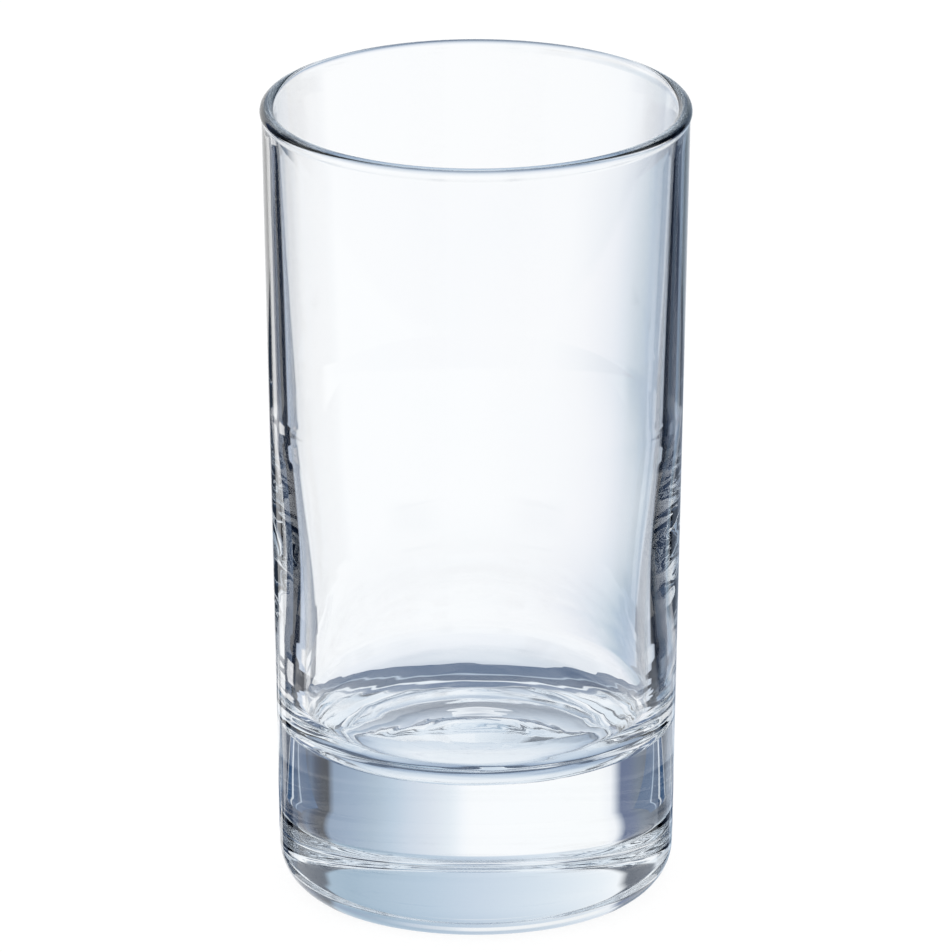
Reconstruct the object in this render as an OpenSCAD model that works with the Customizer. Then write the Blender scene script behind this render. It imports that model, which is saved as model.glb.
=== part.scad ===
// Juice glass: a straight tumbler with a slight taper, a rounded lip and a heavy base.
// It is one piece of clear glass, so the whole of it is one section turned about its axis.
// Millimetres, +Z up. The origin is the centre of the ring that the glass stands on.

/* [Outside] */
// Height, from the table to the top of the lip
glass_h = 113.7; // [95:0.1:140]
// Outside diameter of the lip
rim_d = 60; // [56:0.1:72]
// Outside diameter that the straight wall would have if it ran down to the table
foot_d = 54.8; // [50:0.1:66]
// Radius of the rounded heel, between the wall and the underside
heel_r = 6.5; // [3:0.1:9]
// Height of the part that the flat foot cuts off below the round of the heel
heel_cut = 1.0; // [0.8:0.1:1.8]
// Width of the small bevel between the heel and the foot
bevel_w = 0.15; // [0.1:0.05:0.4]

/* [Wall] */
// Thickness of the lip, which is rounded right across
lip_t = 2; // [1.4:0.1:2.6]
// Distance by which the bead of the lip stands out from the wall
bead_out = 0.25; // [0.2:0.05:0.5]
// Thickness of the wall just above the swell inside
mid_t = 2.7; // [2.2:0.1:3.4]
// Thickness of the wall below the swell
low_t = 3.9; // [3.5:0.1:5]
// Height of the middle of the swell above the cavity's floor
swell_rise = 31.1; // [28:0.1:40]
// Height over which the wall swells from the one thickness to the other
swell_h = 36; // [16:0.5:40]

/* [Base] */
// Thickness of the solid base, from the table to the cavity's floor
base_t = 20.9; // [14:0.1:24]
// Radius of the corner between the cavity's wall and its floor
corner_r = 8.0; // [4:0.1:9]
// Width of the flat ring that the glass stands on
ring_w = 0.8; // [0.5:0.1:4]
// Depth of the hollow in the underside, at its middle
punt_h = 1.2; // [0.3:0.1:2.5]

/* [Hidden] */
$fn = 180;

// Straight pieces that the curve of the swell is drawn with
swell_count = 24;

// Share of a round's radius at which a straight side ends, just under 1 so that the two join cleanly
join = 0.9998;

// Lean of the outer wall, outwards from the vertical
lean = atan2((rim_d - foot_d) / 2 - bead_out, glass_h);

// Radius of the outer wall at height z
function outside_r(z) = foot_d / 2 + z * tan(lean);

// Centre of a circle of radius r, level with z, that touches the inner side of the outer wall, or
// of a surface t inside it
function beside_wall(z, r, t = 0) = [outside_r(z) - t / cos(lean) - r / cos(lean), z];

// Point at which that circle touches the surface
function touch_wall(centre, r) = centre + join * r * [cos(lean), -sin(lean)];

// Point at which a line from p touches a circle, on the side towards the axis
function touch_inside(p, centre, r) =
    let (v = p - centre, turn = acos(r / norm(v)), heading = atan2(v[1], v[0]))
    centre + join * r * [cos(heading - turn), sin(heading - turn)];

// Rounded lip, a bead that is a little thicker than the wall under it
lip_r = lip_t / 2;
lip_centre = beside_wall(glass_h - lip_r, lip_r, -bead_out);

// Rounded heel, whose circle reaches below the table, where the foot cuts it off
heel_centre = beside_wall(heel_r - heel_cut, heel_r);
heel_reach = sqrt(heel_r ^ 2 - heel_centre[1] ^ 2);
foot_edge_r = heel_centre[0] + heel_reach - bevel_w;

// Slope of the bevel: half that of the heel where the table cuts it
bevel_slope = atan2(heel_reach, heel_centre[1]) / 2;

// Space that the foot leaves for the glass, above the table and inside the bevel
foot_space = [
    [0, 0],
    [foot_edge_r, 0],
    [foot_edge_r + rim_d, rim_d * tan(bevel_slope)],
    [foot_edge_r + rim_d, glass_h + rim_d],
    [0, glass_h + rim_d]
];

// Rounded corner of the cavity
corner_centre = beside_wall(base_t + corner_r, corner_r, low_t);

// The swell of the wall: a half wave from low_t up to mid_t
swell_low_z = base_t + swell_rise - swell_h / 2;
function swell_t(share) = low_t + (mid_t - low_t) * (1 - cos(180 * share)) / 2;
function swell_point(share) =
    let (z = swell_low_z + swell_h * share)
    [outside_r(z) - swell_t(share) / cos(lean), z];

// Hollow in the underside: the cap of a large ball, inside the ring
punt_edge_r = foot_edge_r - ring_w;
punt_r = (punt_edge_r ^ 2 + punt_h ^ 2) / (2 * punt_h);

// Half of the section, with straight lines where its arcs go
section_points = [
    [0, 0],
    [heel_centre[0], 0],
    touch_wall(heel_centre, heel_r),
    [outside_r(lip_centre[1]), lip_centre[1]],
    lip_centre,
    touch_inside(swell_point(1), lip_centre, lip_r),
    for (i = [swell_count : -1 : 0]) swell_point(i / swell_count),
    touch_wall(corner_centre, corner_r),
    [corner_centre[0], base_t],
    [0, base_t]
];

module half_section() {
    difference() {
        intersection() {
            union() {
                polygon(section_points);
                translate(heel_centre)
                    circle(heel_r);
                translate(lip_centre)
                    circle(lip_r);
            }
            polygon(foot_space);
        }
        translate(corner_centre)
            circle(corner_r);
        translate([0, punt_h - punt_r])
            circle(punt_r);
    }
}

// The tumbler: clear soda-lime glass, formed in one piece, its lip rounded in a flame
module glass_body() {
    color([0.86, 0.91, 0.95, 0.45])
        rotate_extrude()
            half_section();
}

glass_body();
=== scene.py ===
import math

import bpy
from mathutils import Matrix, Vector


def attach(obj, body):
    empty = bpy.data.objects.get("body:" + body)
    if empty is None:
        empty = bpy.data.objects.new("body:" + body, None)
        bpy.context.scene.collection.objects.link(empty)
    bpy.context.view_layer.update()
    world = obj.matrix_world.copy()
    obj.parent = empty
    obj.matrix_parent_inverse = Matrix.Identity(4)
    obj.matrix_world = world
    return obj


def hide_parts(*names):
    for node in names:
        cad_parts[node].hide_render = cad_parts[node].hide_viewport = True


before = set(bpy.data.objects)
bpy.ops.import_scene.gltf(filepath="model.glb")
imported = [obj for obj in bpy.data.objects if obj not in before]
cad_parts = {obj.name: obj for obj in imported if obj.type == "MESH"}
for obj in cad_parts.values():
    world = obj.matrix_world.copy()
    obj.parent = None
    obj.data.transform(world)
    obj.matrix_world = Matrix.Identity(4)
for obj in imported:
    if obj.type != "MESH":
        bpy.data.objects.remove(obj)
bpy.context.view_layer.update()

# The tumbler
# One piece of clear soda-lime glass, pressed and blown to a straight wall that leans out a little,
# on a solid base. Its lip was rounded in a flame, and its inside kept the faint ripples of the hot
# glass. The section is drawn here, and Geometry Nodes turn it about the axis.

GLASS_HEIGHT = 0.1137
RIM_RADIUS = 0.030
FOOT_RADIUS = 0.0274
HEEL_RADIUS = 0.0065
HEEL_CUT = 0.001
FOOT_ROUND = 0.0005
LIP_THICKNESS = 0.002
BEAD_OUT = 0.00025
NECK_RADIUS = 0.0008
MID_THICKNESS = 0.0027
LOW_THICKNESS = 0.0039
BASE_THICKNESS = 0.0209
SWELL_RISE = 0.0311
SWELL_HEIGHT = 0.036
CORNER_RADIUS = 0.008
RING_WIDTH = 0.0008
PUNT_DEPTH = 0.0012

# Pieces that each stretch of the section is divided into, and sides of the turned glass
PUNT_STEPS = 26
RING_STEPS = 3
FOOT_STEPS = 6
HEEL_STEPS = 40
OUTSIDE_STEPS = 40
NECK_STEPS = 8
LIP_STEPS = 30
UPPER_WALL_STEPS = 60
SWELL_STEPS = 40
LOW_WALL_STEPS = 8
CORNER_STEPS = 60
FLOOR_STEPS = 50
SIDES = 240

# Where the ripples of the inside fade out, and the radius at which their size round it is measured
FADE_UNDER_LIP = 0.012
FADE_OVER_CORNER = 0.006
STILL_FLOOR_RADIUS = 0.002
FADE_ON_FLOOR = 0.010
RIPPLE_RADIUS = 0.025
# Share of the lip's thickness that a point on the inside has at least between it and the outer wall
INSIDE_SHARE = 0.8
HAIR = 0.000001

lean = math.atan((RIM_RADIUS - BEAD_OUT - FOOT_RADIUS) / GLASS_HEIGHT)


def outside_radius(z):
    """Radius of the outer wall at height z."""
    return FOOT_RADIUS + z * math.tan(lean)


def beside_wall(z, radius, inside=0.0):
    """Centre of an arc at height z that touches the outer wall, or a surface inside it."""
    return outside_radius(z) - (inside + radius) / math.cos(lean), z


def on_arc(centre, radius, angle):
    """The point of an arc at one angle."""
    return centre[0] + radius * math.cos(angle), centre[1] + radius * math.sin(angle)


def arc(centre, radius, start, end, count):
    """Points on an arc, from the angle start to the angle end, both left out."""
    return [on_arc(centre, radius, start + (end - start) * i / count) for i in range(1, count)]


def straight(start, end, count):
    """Points on a straight line, with its start and without its end."""
    return [tuple(a + (b - a) * i / count for a, b in zip(start, end)) for i in range(count)]


def wall_thickness(z):
    """Thickness of the lower wall and of the swell in it, at height z."""
    share = (z - (BASE_THICKNESS + SWELL_RISE - SWELL_HEIGHT / 2)) / SWELL_HEIGHT
    share = min(max(share, 0.0), 1.0)
    return LOW_THICKNESS + (MID_THICKNESS - LOW_THICKNESS) * (1 - math.cos(math.pi * share)) / 2


def inner_wall_point(z):
    """Point on the inside of the lower wall at height z."""
    return outside_radius(z) - wall_thickness(z) / math.cos(lean), z


def draw_section():
    """Half of the glass's section as (radius, height) points, from the underside round to the cavity."""
    heel = beside_wall(HEEL_RADIUS - HEEL_CUT, HEEL_RADIUS)
    foot_rise = FOOT_ROUND - heel[1]
    foot_reach = math.sqrt((HEEL_RADIUS - FOOT_ROUND) ** 2 - foot_rise ** 2)
    foot = (heel[0] + foot_reach, FOOT_ROUND)
    heel_end = math.atan2(foot_rise, foot_reach)

    lip_radius = LIP_THICKNESS / 2
    lip = beside_wall(GLASS_HEIGHT - lip_radius, lip_radius, -BEAD_OUT)
    neck_out = NECK_RADIUS + lip_radius - BEAD_OUT
    neck_down = math.sqrt((NECK_RADIUS + lip_radius) ** 2 - neck_out ** 2)
    neck_turn = math.atan2(neck_down, neck_out)
    neck = (lip[0] + neck_out * math.cos(lean) - neck_down * math.sin(lean),
            lip[1] - neck_out * math.sin(lean) - neck_down * math.cos(lean))
    neck_top = math.pi - lean - neck_turn
    neck_foot = math.pi - lean
    bead_foot = -lean - neck_turn

    corner = beside_wall(BASE_THICKNESS + CORNER_RADIUS, CORNER_RADIUS, LOW_THICKNESS)
    swell_bottom = BASE_THICKNESS + SWELL_RISE - SWELL_HEIGHT / 2
    swell_top = inner_wall_point(swell_bottom + SWELL_HEIGHT)
    to_swell = (swell_top[0] - lip[0], swell_top[1] - lip[1])
    lip_turn = math.acos(lip_radius / math.hypot(*to_swell))
    lip_end = 2 * math.pi + math.atan2(to_swell[1], to_swell[0]) - lip_turn

    punt_edge = foot[0] - RING_WIDTH
    punt_radius = (punt_edge ** 2 + PUNT_DEPTH ** 2) / (2 * PUNT_DEPTH)
    punt_angle = math.asin(punt_edge / punt_radius)
    punt = (0.0, PUNT_DEPTH - punt_radius)

    points = [(0.0, PUNT_DEPTH)]
    points += arc(punt, punt_radius, math.pi / 2, math.pi / 2 - punt_angle, PUNT_STEPS)
    points += straight((punt_edge, 0.0), (foot[0], 0.0), RING_STEPS)
    points += [(foot[0], 0.0)]
    points += arc(foot, FOOT_ROUND, -math.pi / 2, heel_end, FOOT_STEPS)
    points += [on_arc(foot, FOOT_ROUND, heel_end)]
    points += arc(heel, HEEL_RADIUS, heel_end, -lean, HEEL_STEPS)
    points += straight(on_arc(heel, HEEL_RADIUS, -lean), on_arc(neck, NECK_RADIUS, neck_foot),
                       OUTSIDE_STEPS)
    points += [on_arc(neck, NECK_RADIUS, neck_foot)]
    points += arc(neck, NECK_RADIUS, neck_foot, neck_top, NECK_STEPS)
    points += [on_arc(lip, lip_radius, bead_foot)]
    points += arc(lip, lip_radius, bead_foot, lip_end, LIP_STEPS)
    points += straight(on_arc(lip, lip_radius, lip_end), swell_top, UPPER_WALL_STEPS)
    for i in range(SWELL_STEPS):
        points.append(inner_wall_point(swell_top[1] - SWELL_HEIGHT * i / SWELL_STEPS))
    points += straight(inner_wall_point(swell_bottom), on_arc(corner, CORNER_RADIUS, -lean),
                       LOW_WALL_STEPS)
    points += [on_arc(corner, CORNER_RADIUS, -lean)]
    points += arc(corner, CORNER_RADIUS, -lean, -math.pi / 2, CORNER_STEPS)
    points += straight((corner[0], BASE_THICKNESS), (0.0, BASE_THICKNESS), FLOOR_STEPS)
    points += [(0.0, BASE_THICKNESS)]
    return points


def in_cavity(point):
    """Whether a point of the section is on the inside of the glass."""
    radius, z = point
    return z >= BASE_THICKNESS - HAIR and outside_radius(z) - radius >= LIP_THICKNESS * INSIDE_SHARE


def wall_share(point):
    """How far a point of the section is on the cavity's wall, which has upright ripples: 0 to 1."""
    if not in_cavity(point):
        return 0.0
    z = point[1]
    return min(1.0, (GLASS_HEIGHT - z) / FADE_UNDER_LIP, max(0.0, (z - BASE_THICKNESS) / CORNER_RADIUS))


def floor_share(point):
    """How far a point is on the cavity's floor or corner, where the ripples are rings: 0 to 1."""
    if not in_cavity(point):
        return 0.0
    radius, z = point
    fade_up = (BASE_THICKNESS + CORNER_RADIUS + FADE_OVER_CORNER - z) / FADE_OVER_CORNER
    fade_in = (radius - STILL_FLOOR_RADIUS) / FADE_ON_FLOOR
    return max(0.0, min(1.0, fade_up, fade_in))


def make_section_mesh():
    """The section as a line of points, with each point's shares of the ripples."""
    points = draw_section()
    mesh = bpy.data.meshes.new("glass_section")
    mesh.from_pydata([(r, 0.0, z) for r, z in points], [(i, i + 1) for i in range(len(points) - 1)], [])
    gone = [0.0]
    for a, b in zip(points, points[1:]):
        gone.append(gone[-1] + math.dist(a, b))
    for name, values in (("wall_share", [wall_share(p) for p in points]),
                         ("floor_share", [floor_share(p) for p in points]),
                         ("gone", gone)):
        mesh.attributes.new(name, "FLOAT", "POINT").data.foreach_set("value", values)
    return mesh


def add_maths(tree, operation, *values):
    """A maths node of a tree, whose inputs are numbers or other nodes' outputs."""
    made = tree.nodes.new("ShaderNodeMath")
    made.operation = operation
    for socket, value in zip(made.inputs, values):
        if isinstance(value, (int, float)):
            socket.default_value = value
        else:
            tree.links.new(value, socket)
    return made.outputs[0]


def make_turning_tree(section_points):
    """Geometry Nodes that turn a section about the axis and ripple the inside of the glass."""
    tree = bpy.data.node_groups.new("turn_the_section", "GeometryNodeTree")
    nodes, links = tree.nodes, tree.links

    def socket(name, kind, value=None, out=False):
        made = tree.interface.new_socket(name, in_out="OUTPUT" if out else "INPUT", socket_type=kind)
        if value is not None:
            made.default_value = value

    socket("Section", "NodeSocketGeometry")
    socket("Sides", "NodeSocketInt", SIDES)
    socket("Wall Ripple Height", "NodeSocketFloat", 0.000015)
    socket("Wall Ripple Width", "NodeSocketFloat", 0.009)
    socket("Wall Ripple Length", "NodeSocketFloat", 0.080)
    socket("Floor Ripple Height", "NodeSocketFloat", 0.00009)
    socket("Floor Ripple Width", "NodeSocketFloat", 0.0021)
    socket("Floor Ripple Length", "NodeSocketFloat", 0.026)
    socket("Merge Distance", "NodeSocketFloat", 0.000002)
    socket("Glass", "NodeSocketMaterial")
    socket("Mesh", "NodeSocketGeometry", out=True)

    def node(kind, **settings):
        made = nodes.new(kind)
        for name, value in settings.items():
            setattr(made, name, value)
        return made

    def maths(operation, *values):
        return add_maths(tree, operation, *values)

    def named(name):
        made = node("GeometryNodeInputNamedAttribute", data_type="FLOAT")
        made.inputs["Name"].default_value = name
        return made.outputs["Attribute"]

    # Each row of a grid is one point of the section, and each column one place round the axis
    given = node("NodeGroupInput")
    columns = maths("ADD", given.outputs["Sides"], 1)
    grid = node("GeometryNodeMeshGrid")
    grid.inputs["Vertices X"].default_value = section_points
    links.new(columns, grid.inputs["Vertices Y"])
    index = node("GeometryNodeInputIndex").outputs[0]
    row = maths("FLOOR", maths("DIVIDE", maths("ADD", index, 0.5), columns))
    column = maths("SUBTRACT", index, maths("MULTIPLY", row, columns))
    angle = maths("MULTIPLY", maths("DIVIDE", column, given.outputs["Sides"]), 2 * math.pi)

    def from_section(kind, value):
        made = node("GeometryNodeSampleIndex", data_type=kind, domain="POINT")
        links.new(given.outputs["Section"], made.inputs["Geometry"])
        links.new(value, made.inputs["Value"])
        links.new(row, made.inputs["Index"])
        return made.outputs["Value"]

    place = node("ShaderNodeSeparateXYZ")
    section_place = from_section("FLOAT_VECTOR", node("GeometryNodeInputPosition").outputs[0])
    links.new(section_place, place.inputs[0])
    around = node("ShaderNodeCombineXYZ")
    links.new(maths("MULTIPLY", place.outputs["X"], maths("COSINE", angle)), around.inputs["X"])
    links.new(maths("MULTIPLY", place.outputs["X"], maths("SINE", angle)), around.inputs["Y"])
    links.new(place.outputs["Z"], around.inputs["Z"])
    set_place = node("GeometryNodeSetPosition")
    links.new(grid.outputs["Mesh"], set_place.inputs["Geometry"])
    links.new(around.outputs[0], set_place.inputs["Position"])
    surface = set_place.outputs[0]
    for name in ("wall_share", "floor_share", "gone"):
        keep = node("GeometryNodeStoreNamedAttribute", data_type="FLOAT", domain="POINT")
        keep.inputs["Name"].default_value = name
        links.new(surface, keep.inputs["Geometry"])
        links.new(from_section("FLOAT", named(name)), keep.inputs["Value"])
        surface = keep.outputs[0]
    outward = node("GeometryNodeFlipFaces")
    links.new(surface, outward.inputs[0])
    closed = node("GeometryNodeMergeByDistance")
    links.new(outward.outputs[0], closed.inputs["Geometry"])
    links.new(given.outputs["Merge Distance"], closed.inputs["Distance"])

    here = node("ShaderNodeSeparateXYZ")
    links.new(node("GeometryNodeInputPosition").outputs[0], here.inputs[0])
    bearing = maths("ARCTAN2", here.outputs["Y"], here.outputs["X"])

    def ripples(share, height, along_section, round_axis, detail):
        """Ripples of a height, with their size along the section and their size round the axis."""
        turn = maths("DIVIDE", RIPPLE_RADIUS, given.outputs[round_axis])
        vector = node("ShaderNodeCombineXYZ")
        links.new(maths("MULTIPLY", maths("COSINE", bearing), turn), vector.inputs["X"])
        links.new(maths("MULTIPLY", maths("SINE", bearing), turn), vector.inputs["Y"])
        links.new(maths("DIVIDE", named("gone"), given.outputs[along_section]), vector.inputs["Z"])
        noise = node("ShaderNodeTexNoise", noise_dimensions="3D")
        noise.inputs["Scale"].default_value = 1.0
        noise.inputs["Detail"].default_value = detail
        links.new(vector.outputs[0], noise.inputs["Vector"])
        swing = maths("MULTIPLY", maths("SUBTRACT", noise.outputs[0], 0.5), 2.0)
        return maths("MULTIPLY", maths("MULTIPLY", swing, given.outputs[height]), named(share))

    amount = maths("ADD",
                   ripples("wall_share", "Wall Ripple Height", "Wall Ripple Length",
                           "Wall Ripple Width", 1.0),
                   ripples("floor_share", "Floor Ripple Height", "Floor Ripple Width",
                           "Floor Ripple Length", 2.0))
    along = node("ShaderNodeVectorMath", operation="SCALE")
    links.new(node("GeometryNodeInputNormal").outputs[0], along.inputs[0])
    links.new(amount, along.inputs["Scale"])
    rippled = node("GeometryNodeSetPosition")
    links.new(closed.outputs[0], rippled.inputs["Geometry"])
    links.new(along.outputs[0], rippled.inputs["Offset"])

    smooth = node("GeometryNodeSetShadeSmooth")
    links.new(rippled.outputs[0], smooth.inputs["Geometry"])
    real = node("GeometryNodeRealizeInstances")
    links.new(smooth.outputs[0], real.inputs[0])
    finish = node("GeometryNodeSetMaterial")
    links.new(real.outputs[0], finish.inputs["Geometry"])
    links.new(given.outputs["Glass"], finish.inputs["Material"])
    links.new(finish.outputs[0], node("NodeGroupOutput").inputs[0])
    return tree


GLASS_IOR = 1.52
SKIN_WAVES_PER_METRE = 70.0
SKIN_WAVE_DETAIL = 2.0
SKIN_WAVE_HEIGHT = 0.000006
COOL_CLEAR = (0.985, 0.993, 1.0, 1.0)
FULL_CLEAR = (1.0, 1.0, 1.0, 1.0)
THICK_GLASS_TINT = (0.62, 0.84, 1.0, 1.0)
TINT_PER_METRE = 1.2


def make_clear_glass():
    """Clear soda-lime glass: faint waves of the mould in its skin, a cool tint where it is thick."""
    made = bpy.data.materials.new("clear_glass")
    made.use_nodes = True
    nodes, links = made.node_tree.nodes, made.node_tree.links
    shader = nodes["Principled BSDF"]
    shader.inputs["Transmission Weight"].default_value = 1.0
    shader.inputs["IOR"].default_value = GLASS_IOR
    shader.inputs["Roughness"].default_value = 0.0
    place = nodes.new("ShaderNodeTexCoord")
    waves = nodes.new("ShaderNodeTexNoise")
    waves.inputs["Scale"].default_value = SKIN_WAVES_PER_METRE
    waves.inputs["Detail"].default_value = SKIN_WAVE_DETAIL
    links.new(place.outputs["Object"], waves.inputs["Vector"])
    skin = nodes.new("ShaderNodeBump")
    skin.inputs["Strength"].default_value = 1.0
    skin.inputs["Distance"].default_value = SKIN_WAVE_HEIGHT
    links.new(waves.outputs[0], skin.inputs["Height"])
    links.new(skin.outputs["Normal"], shader.inputs["Normal"])
    shade = nodes.new("ShaderNodeValToRGB")
    shade.color_ramp.elements[0].color = COOL_CLEAR
    shade.color_ramp.elements[1].color = FULL_CLEAR
    links.new(waves.outputs[0], shade.inputs[0])
    links.new(shade.outputs[0], shader.inputs["Base Color"])
    tint = nodes.new("ShaderNodeVolumeAbsorption")
    tint.inputs["Color"].default_value = THICK_GLASS_TINT
    tint.inputs["Density"].default_value = TINT_PER_METRE
    links.new(tint.outputs[0], nodes["Material Output"].inputs["Volume"])
    return made


section_mesh = make_section_mesh()
section = bpy.data.objects.new("glass_section", section_mesh)
bpy.context.scene.collection.objects.link(section)
turning = section.modifiers.new("turning", "NODES")
turning.node_group = make_turning_tree(len(section_mesh.vertices))
for item in turning.node_group.interface.items_tree:
    if item.name == "Glass":
        turning[item.identifier] = make_clear_glass()
turned = bpy.data.meshes.new_from_object(
    section.evaluated_get(bpy.context.evaluated_depsgraph_get()))
section.modifiers.remove(turning)
bpy.data.objects.remove(section)
glass = bpy.data.objects.new("glass_tumbler", turned)
bpy.context.scene.collection.objects.link(glass)
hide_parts("glass_body")
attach(glass, "root")

# The table
# A plain white table top. The camera sees it white with the glass's faint shadow, and a ray that has
# been through the glass or off it goes past the table to the studio.

TABLE_HALF_WIDTH = 3.0
TABLE_GLOW = 0.90
TABLE_GREY = (0.14, 0.14, 0.14, 1.0)


def past_glass(tree):
    """1 for a ray that glass has bent or mirrored, and 0 for one that comes straight from the camera."""
    path = tree.nodes.new("ShaderNodeLightPath")
    return add_maths(tree, "MAXIMUM", path.outputs["Is Glossy Ray"], path.outputs["Is Transmission Ray"])


def make_table_white():
    """Paint that glows almost to white and takes the rest from the room, so a faint shadow shows."""
    made = bpy.data.materials.new("table_white")
    made.use_nodes = True
    nodes, links = made.node_tree.nodes, made.node_tree.links
    nodes.remove(nodes["Principled BSDF"])
    lit = nodes.new("ShaderNodeEmission")
    lit.inputs["Strength"].default_value = TABLE_GLOW
    lit.inputs["Color"].default_value = (1.0, 1.0, 1.0, 1.0)
    matt = nodes.new("ShaderNodeBsdfDiffuse")
    matt.inputs["Color"].default_value = TABLE_GREY
    both = nodes.new("ShaderNodeAddShader")
    links.new(lit.outputs[0], both.inputs[0])
    links.new(matt.outputs[0], both.inputs[1])
    choose = nodes.new("ShaderNodeMixShader")
    links.new(past_glass(made.node_tree), choose.inputs[0])
    links.new(both.outputs[0], choose.inputs[1])
    links.new(nodes.new("ShaderNodeBsdfTransparent").outputs[0], choose.inputs[2])
    links.new(choose.outputs[0], nodes["Material Output"].inputs["Surface"])
    return made


table_mesh = bpy.data.meshes.new("table_top")
corner_sides = ((-1, -1), (1, -1), (1, 1), (-1, 1))
table_mesh.from_pydata([(TABLE_HALF_WIDTH * x, TABLE_HALF_WIDTH * y, 0) for x, y in corner_sides],
                       [], [(0, 1, 2, 3)])
table_mesh.materials.append(make_table_white())
table = bpy.data.objects.new("table_top", table_mesh)
bpy.context.scene.collection.objects.link(table)

# The light under the glass
# A disc just below the table, seen through the glass alone: painted light, palest at its middle, that stands
# in for the light the glass gathers on the table under it, with painted shade at its edge. It is as wide as
# the ring that the glass stands on.

VIEW_AZIMUTH = 225
DISC_DROP = 0.0002
DISC_SIDES = 48
# Radius and colour of each ring of the disc: painted light in the middle, painted shade at the edge
DISC_LIGHT_AND_SHADE = [(0.0, (240, 245, 249)), (0.010, (238, 243, 248)), (0.018, (200, 214, 228)),
              (0.0225, (150, 170, 195)), (0.0232, (70, 88, 112)), (0.0243, (70, 88, 112))]


def linear(colour):
    """A screen colour, 0 to 255, as the light that the shader needs."""
    parts = [c / 255 for c in colour]
    return tuple(c / 12.92 if c <= 0.04045 else ((c + 0.055) / 1.055) ** 2.4 for c in parts) + (1.0,)


def make_card_paint():
    """Paint that glows in each card's own colours, and lights nothing."""
    made = bpy.data.materials.new("card_paint")
    made.use_nodes = True
    nodes, links = made.node_tree.nodes, made.node_tree.links
    nodes.remove(nodes["Principled BSDF"])
    paint = nodes.new("ShaderNodeVertexColor")
    paint.layer_name = "card_colour"
    glow = nodes.new("ShaderNodeEmission")
    links.new(paint.outputs["Color"], glow.inputs["Color"])
    links.new(glow.outputs[0], nodes["Material Output"].inputs["Surface"])
    made.cycles.emission_sampling = "NONE"
    return made


card_paint = make_card_paint()


def add_card(name, rows, closed=False):
    """A card from rows of (place, screen colour), seen through and in the glass, not by the camera.

    Places are given from the camera's side: right of the axis, away past it, and height.
    """
    turned_by = math.radians(VIEW_AZIMUTH)
    places, colours = [], []
    for row in rows:
        for (right, away, height), colour in row:
            places.append((right * math.cos(turned_by) - away * math.sin(turned_by),
                           right * math.sin(turned_by) + away * math.cos(turned_by), height))
            colours.extend(linear(colour))
    length = len(rows[0])
    faces = []
    for row in range(len(rows) - 1):
        for i in range(length if closed else length - 1):
            a, b = length * row + i, length * row + (i + 1) % length
            faces.append((a, b, b + length, a + length))
    mesh = bpy.data.meshes.new(name)
    mesh.from_pydata(places, [], faces)
    mesh.color_attributes.new("card_colour", "FLOAT_COLOR", "POINT").data.foreach_set("color", colours)
    mesh.materials.append(card_paint)
    card = bpy.data.objects.new(name, mesh)
    bpy.context.scene.collection.objects.link(card)
    card.visible_camera = False
    card.visible_diffuse = False
    card.visible_shadow = False


disc = []
for radius, colour in DISC_LIGHT_AND_SHADE:
    angles = [2 * math.pi * i / DISC_SIDES for i in range(DISC_SIDES)]
    disc.append([((radius * math.cos(a), radius * math.sin(a), -DISC_DROP), colour) for a in angles])
add_card("painted_light_and_shade_under_glass", disc, closed=True)

# The sheet of painted shadow
# A sheet under the table, past the disc: painted shadow of the glass on the table behind it, in blue
# stripes, streaked with pale stripes of painted caustic light. Its far edge bends away at the sides, and
# shows as the sharp top of the dark ring round the cavity's floor.

SHEET_DROP = 0.008
SHEET_HALF_WIDTH = 60
SHEET_STEP = 6
# Distance of the far edge from the axis, and how much farther it is at the sides, per mm squared
FAR_EDGE = 51.9
FAR_EDGE_CURVE = 0.0075
# Distance of each line of colour before the far edge, in mm, and its colour: blue for the painted shadow,
# pale for the painted caustic light
SHADOW_STRIPES = [(0.0, (58, 88, 124)), (7.0, (58, 88, 124)), (7.8, (176, 194, 214)), (8.6, (48, 76, 110)),
           (13.0, (48, 76, 110)), (13.6, (230, 238, 246)), (14.6, (230, 238, 246)),
           (15.2, (66, 96, 134)), (19.2, (66, 96, 134)), (20.5, (238, 243, 248))]

sheet = []
for before_edge, colour in SHADOW_STRIPES:
    line = []
    for x in range(-SHEET_HALF_WIDTH, SHEET_HALF_WIDTH + 1, SHEET_STEP):
        away = FAR_EDGE + FAR_EDGE_CURVE * x * x - before_edge
        line.append(((x / 1000, away / 1000, -SHEET_DROP), colour))
    sheet.append(line)
add_card("painted_shadow_sheet", sheet)

# The studio
# A white room all round, with dark cards at the sides that draw the dark lines of the walls, and cool
# cards high up behind that colour the base. They are painted on the world by direction.

studio = bpy.data.worlds.new("studio")
bpy.context.scene.world = studio
studio.use_nodes = True
nodes, links = studio.node_tree.nodes, studio.node_tree.links


def world_maths(operation, *values):
    """A maths node of the world."""
    return add_maths(studio.node_tree, operation, *values)


def ramp(value, low, high, stops):
    """A colour ramp over an angle from low to high, in degrees, with (angle, screen colour) stops."""
    share = world_maths("DIVIDE", world_maths("SUBTRACT", value, low), high - low)
    made = nodes.new("ShaderNodeValToRGB")
    colours = made.color_ramp
    places = [(angle - low) / (high - low) for angle, colour in stops]
    colours.elements[0].position = places[0]
    colours.elements[1].position = places[-1]
    for p in places[1:-1]:
        colours.elements.new(p)
    for element, (angle, colour) in zip(colours.elements, stops):
        element.color = linear(colour)
    links.new(share, made.inputs[0])
    return made.outputs[0]


def mix(share, a, b, blend="MIX"):
    """a where share is 0 and b where it is 1, each a colour or another node's output."""
    made = nodes.new("ShaderNodeMix")
    made.data_type = "RGBA"
    made.blend_type = blend
    for socket, value in ((made.inputs[0], share), (made.inputs[6], a), (made.inputs[7], b)):
        if isinstance(value, (float, tuple)):
            socket.default_value = value
        else:
            links.new(value, socket)
    return made.outputs[2]


def times(a, b):
    """Two colours multiplied, so that white leaves the other as it is."""
    return mix(1.0, a, b, "MULTIPLY")


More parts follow.
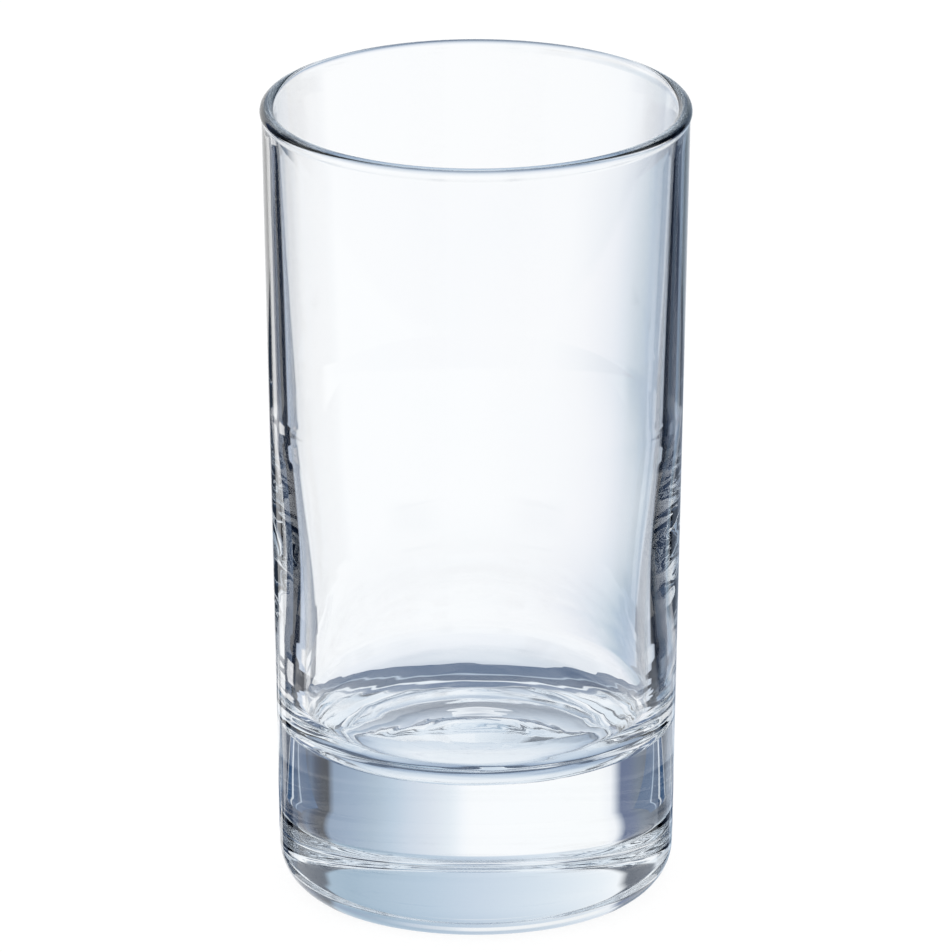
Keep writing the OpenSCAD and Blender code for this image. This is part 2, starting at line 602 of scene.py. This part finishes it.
def step(value, low, high):
    """0 below low, 1 above high, and smooth between."""
    made = nodes.new("ShaderNodeMapRange")
    made.interpolation_type = "SMOOTHSTEP"
    made.inputs["From Min"].default_value = low
    made.inputs["From Max"].default_value = high
    links.new(value, made.inputs["Value"])
    return made.outputs["Result"]


def band(zone, below, within, above):
    """`within` in a zone of elevations, with its soft edges, `below` under it and `above` over it."""
    low, high, soft = zone
    return mix(step(elevation, high - soft, high),
               mix(step(elevation, low, low + soft), below, within), above)


WHITE = (255, 255, 255)


def strips(colour, *edges):
    """Stops for strips on both sides, from where each starts to darken, is dark, starts to pale, is pale."""
    right = []
    for darkens, dark, pales, pale in edges:
        right += [(darkens, WHITE), (dark, colour), (pales, colour), (pale, WHITE)]
    return [(-angle, shade) for angle, shade in reversed(right)] + right


# Azimuths go from where the camera looks, + to its right, and elevations from the level, + up
to_view = nodes.new("ShaderNodeVectorRotate")
to_view.rotation_type = "Z_AXIS"
to_view.inputs["Angle"].default_value = -math.radians(VIEW_AZIMUTH)
links.new(nodes.new("ShaderNodeTexCoord").outputs["Generated"], to_view.inputs["Vector"])
parts = nodes.new("ShaderNodeSeparateXYZ")
links.new(to_view.outputs[0], parts.inputs[0])
azimuth = world_maths("MULTIPLY", world_maths("ARCTAN2", parts.outputs["X"], parts.outputs["Y"]),
                      180 / math.pi)
elevation = world_maths("MULTIPLY", world_maths("ARCSINE", parts.outputs["Z"]), 180 / math.pi)
to_side = world_maths("ABSOLUTE", azimuth)

# The room near the table's level, as the base shows it: white, then blue to the right, dark beside
room = ramp(azimuth, -180, 180, [
    (-84, (253, 254, 255)), (-74, (170, 180, 194)), (-62, (84, 92, 104)), (-53, (70, 79, 94)),
    (-46, (92, 107, 126)), (-41, (84, 100, 134)), (-37.5, (84, 100, 134)), (-36, (190, 198, 210)),
    (-34, (244, 246, 249)), (-30, (253, 254, 254)), (-4, (253, 254, 255)), (1, (252, 253, 254)),
    (3, (245, 248, 252)), (5, (231, 238, 244)), (9, (219, 226, 235)), (14, (204, 215, 228)),
    (18, (186, 203, 219)), (23, (168, 186, 203)), (29, (151, 170, 192)), (37, (136, 155, 179)),
    (39, (52, 56, 64)), (42, (44, 50, 62)), (45, (40, 56, 82)), (48, (72, 94, 122)),
    (52, (40, 52, 76)), (61, (50, 64, 88)), (72, (56, 72, 98)), (78, (150, 162, 178)),
    (84, (253, 254, 255))])

# Cards that the outer faces of the walls mirror, just under the camera's own angle
room_edges = ramp(azimuth, -90, 90, [
    (-70, WHITE), (-61, (18, 28, 44)), (-36, (18, 28, 44)), (-34, (250, 251, 253)),
    (-27, (250, 251, 253)), (-25, (58, 70, 88)), (-13, (58, 70, 88)), (-9, (253, 254, 255)),
    (2, (250, 251, 253)), (7, (205, 214, 226)), (11, (134, 146, 164)), (16, (150, 162, 180)),
    (22, (110, 122, 140)), (30, (130, 142, 160)), (35, (18, 28, 44)), (60, (18, 28, 44)),
    (68, WHITE)])

# Cards seen through the middle of the walls: white, with a blue shade to the right that starts
# farther out for the steeper rays
SHADE_START_ELEVATION = -20.5
SHADE_SHIFT_PER_DEGREE = 0.11
SHADE_LEAST_SHARE = 0.6
shade_share = world_maths("MULTIPLY_ADD", elevation, SHADE_SHIFT_PER_DEGREE,
                          1 - SHADE_START_ELEVATION * SHADE_SHIFT_PER_DEGREE)
shade_share = world_maths("MINIMUM", world_maths("MAXIMUM", shade_share, SHADE_LEAST_SHARE), 1.0)
room_wall = ramp(world_maths("MULTIPLY", azimuth, shade_share), -30, 60, [
    (0, (253, 254, 255)), (2, (250, 251, 253)), (3, (246, 247, 250)), (4, (240, 242, 247)),
    (5, (231, 235, 242)), (6, (222, 229, 238)), (7, (211, 221, 231)), (8, (197, 210, 222)),
    (9, (181, 198, 213)), (10.5, (162, 183, 204)), (13, (155, 178, 203)), (16, (165, 184, 208)),
    (20, (186, 199, 217))])

# Cards seen through the sides of the walls, which draw their dark and pale lines, and stand closer
# in where the upper wall shows them
UPPER_WALL_SPREAD = 0.12
UPPER_WALL_STARTS = (-23.4, -22.9)
UPPER_WALL_ENDS = (-21.9, -21.5)
in_upper_wall = world_maths("MULTIPLY", step(elevation, *UPPER_WALL_STARTS),
                            world_maths("SUBTRACT", 1.0, step(elevation, *UPPER_WALL_ENDS)))
spreading = world_maths("MULTIPLY_ADD", in_upper_wall, UPPER_WALL_SPREAD, 1.0)
wall_bands = ramp(world_maths("MULTIPLY", azimuth, spreading), -90, 90, [
    (-53, (253, 254, 255)), (-50, (192, 204, 221)), (-44, (192, 204, 221)), (-42.5, (12, 19, 33)),
    (-33, (12, 19, 33)), (-32, (92, 107, 130)), (-29, (84, 99, 122)), (-21, (66, 80, 104)),
    (-20, (253, 254, 255)), (0, (253, 254, 255)), (17, (205, 216, 229)),
    (19.5, (200, 212, 226)), (21, (112, 124, 144)), (24, (78, 91, 114)), (30, (56, 68, 90)),
    (37.5, (34, 43, 60)), (38.5, (8, 13, 25)), (44.5, (8, 13, 25)), (46, (190, 200, 214)),
    (50, (215, 224, 234)), (60, (240, 244, 249)), (70, WHITE)])

# Strips that draw the glass's edges when it is seen level from its other sides, and from behind
side_strips = ramp(azimuth, -180, 180, strips((120, 132, 148), (83, 88, 99, 103), (153, 158, 161, 166)))
back_strips = ramp(azimuth, -180, 180, strips((160, 171, 187), (120, 134, 148, 162)))

# The room darkens towards the ground: painted shade that stands in for the shaded table under the glass
below = ramp(elevation, -90, -20, [
    (-90, (96, 110, 130)), (-66, (104, 118, 138)), (-59, (132, 146, 164)), (-50, (188, 200, 214)),
    (-44, (218, 225, 233)), (-36, (240, 243, 248)), (-28, (253, 254, 255)), (-24, WHITE)])

# Cards above the level, which the underside mirrors into the lower base, and the ceiling over them
high_cards = ramp(azimuth, -180, 180, [
    (-180, (240, 245, 249)), (-150, (215, 225, 235)), (-146, (215, 225, 235)),
    (-139, (50, 60, 76)), (-126, (50, 60, 76)), (-120, (215, 225, 235)), (-114, (50, 60, 76)),
    (-82, (50, 60, 76)), (-76, (236, 242, 247)), (-62, (236, 242, 247)), (-57, (60, 70, 86)),
    (-41, (60, 70, 86)), (-37, (246, 249, 252)), (-31, (236, 242, 247)), (-15, (216, 227, 237)),
    (0, (198, 212, 227)), (10, (182, 201, 218)), (30, (154, 178, 197)), (38, (154, 178, 197)),
    (41, (60, 72, 88)), (64, (60, 72, 88)), (68, (210, 222, 233)), (90, (225, 233, 241)),
    (140, (250, 252, 254))])
ceiling = ramp(elevation, 0, 90, [
    (12, (215, 225, 235)), (40, (228, 236, 243)), (60, (234, 240, 246)), (76, (234, 240, 246)),
    (78, (120, 140, 165)), (90, (120, 140, 165))])

# Zones of elevation, in degrees: where a group of cards starts and ends, and its soft edge
BACK_STRIPS_ZONE = (-29.8, -25.2, 1.8)
WALL_BANDS_ZONE = (-28.6, -20.0, 0.2)
EDGES_ZONE = (-20.95, -19.0, 0.1)
# Elevations over which one group gives way to the next
UPPER_EDGES_START = (-20.3, -20.2)
SIDE_STRIPS_START = (-9, -8)
HIGH_CARDS_START = (10, 14)
CEILING_STARTS = (42, 54)
# Azimuths over which the cards of the walls' middle give way to those of their sides
WALL_SIDES = (19.0, 19.8)
EDGE_SIDES = (20.3, 21.0)

white = linear(WHITE)
seen_behind = band(BACK_STRIPS_ZONE, white, back_strips, white)
seen_beside = band(WALL_BANDS_ZONE, white, wall_bands, room_wall)
in_walls = times(mix(step(to_side, *WALL_SIDES), room_wall, seen_beside), seen_behind)
lower_edges = mix(step(to_side, *EDGE_SIDES), room_wall, room_edges)
on_edges = mix(step(elevation, *UPPER_EDGES_START), lower_edges, room_edges)
below_strips = band(EDGES_ZONE, in_walls, on_edges, room)
below_level = mix(step(elevation, *SIDE_STRIPS_START), below_strips, times(room, side_strips))
above_level = mix(step(elevation, *CEILING_STARTS), high_cards, ceiling)
through_glass = mix(step(elevation, *HIGH_CARDS_START), times(below_level, below), above_level)

links.new(mix(past_glass(studio.node_tree), white, through_glass), nodes["Background"].inputs["Color"])
nodes["Background"].inputs["Strength"].default_value = 1.0

# The camera
# It looks down at the glass at the photograph's angle, from far away through a long lens.

VIEW_ELEVATION = 19.235
VIEW_DISTANCE = 2.4203
LENS = 656.7
SENSOR_WIDTH = 36
NEAREST = 0.1
FARTHEST = 20
AIM = Vector((0.0, 0.0, 0.0591))
GLASS_BOUNCES = 24

camera_data = bpy.data.cameras.new("camera")
camera_data.lens = LENS
camera_data.sensor_width = SENSOR_WIDTH
camera_data.clip_start = NEAREST
camera_data.clip_end = FARTHEST
camera = bpy.data.objects.new("camera", camera_data)
bpy.context.scene.collection.objects.link(camera)
turned_to = math.radians(VIEW_AZIMUTH)
raised = math.radians(VIEW_ELEVATION)
back = Vector((math.sin(turned_to) * math.cos(raised), -math.cos(turned_to) * math.cos(raised),
               math.sin(raised)))
camera.location = AIM + back * VIEW_DISTANCE
camera.rotation_euler = (-back).to_track_quat("-Z", "Y").to_euler()
bpy.context.scene.camera = camera
bpy.context.scene.view_settings.view_transform = "Standard"
bpy.context.scene.cycles.max_bounces = GLASS_BOUNCES
bpy.context.scene.cycles.transmission_bounces = GLASS_BOUNCES
bpy.context.scene.cycles.glossy_bounces = GLASS_BOUNCES
bpy.context.scene.cycles.use_denoising = True
